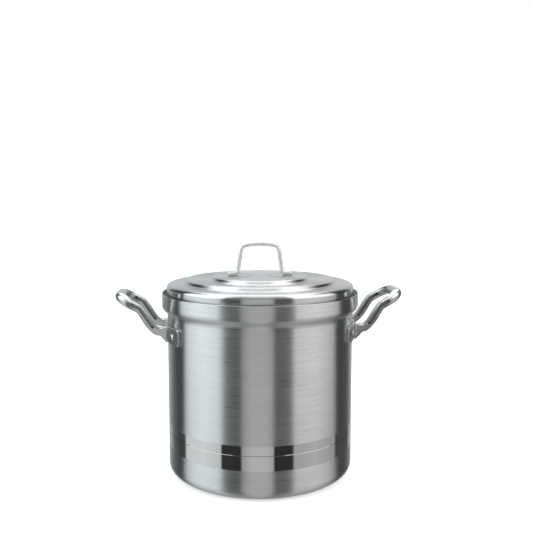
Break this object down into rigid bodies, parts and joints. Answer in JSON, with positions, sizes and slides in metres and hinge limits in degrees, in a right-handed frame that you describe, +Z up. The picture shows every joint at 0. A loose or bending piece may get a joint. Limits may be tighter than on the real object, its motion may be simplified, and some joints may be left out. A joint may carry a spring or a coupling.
{
  "type": "stock pot",
  "caption": "Tall cylindrical stock pot with a stepped collar, a loose stepped lid with a wire grip, and loop handles at each side, for cooking stock and soup in volume.",
  "frame": {"origin": "centre of the pot's underside, where its axis meets the surface it stands on", "axes": "+Z up along the pot's axis, +X through the right side handle, +Y away from the front"},
  "size_m": [0.4624, 0.3174, 0.3728],
  "materials": {
    "pot_steel": "satin, brushed round the pot, with a mirror-polished band near the base",
    "lid_steel": "satin, brushed in rings",
    "rod_steel": "bright polished",
    "cast_steel": "tumbled and polished casting",
    "rivet_steel": "polished"
  },
  "bodies": {
    "pot": {"pot_body": "pot_steel", "left_side_handle": "cast_steel", "right_side_handle": "cast_steel", "left_handle_rivets": "rivet_steel", "right_handle_rivets": "rivet_steel"},
    "lid": {"lid": "lid_steel", "lid_handle": "rod_steel"}
  },
  "joints": [
    {"name": "lid_lift", "type": "slide", "parent": "pot", "child": "lid", "axis": [0, 0, 1], "range_m": [0, 0.12]}
  ]
}
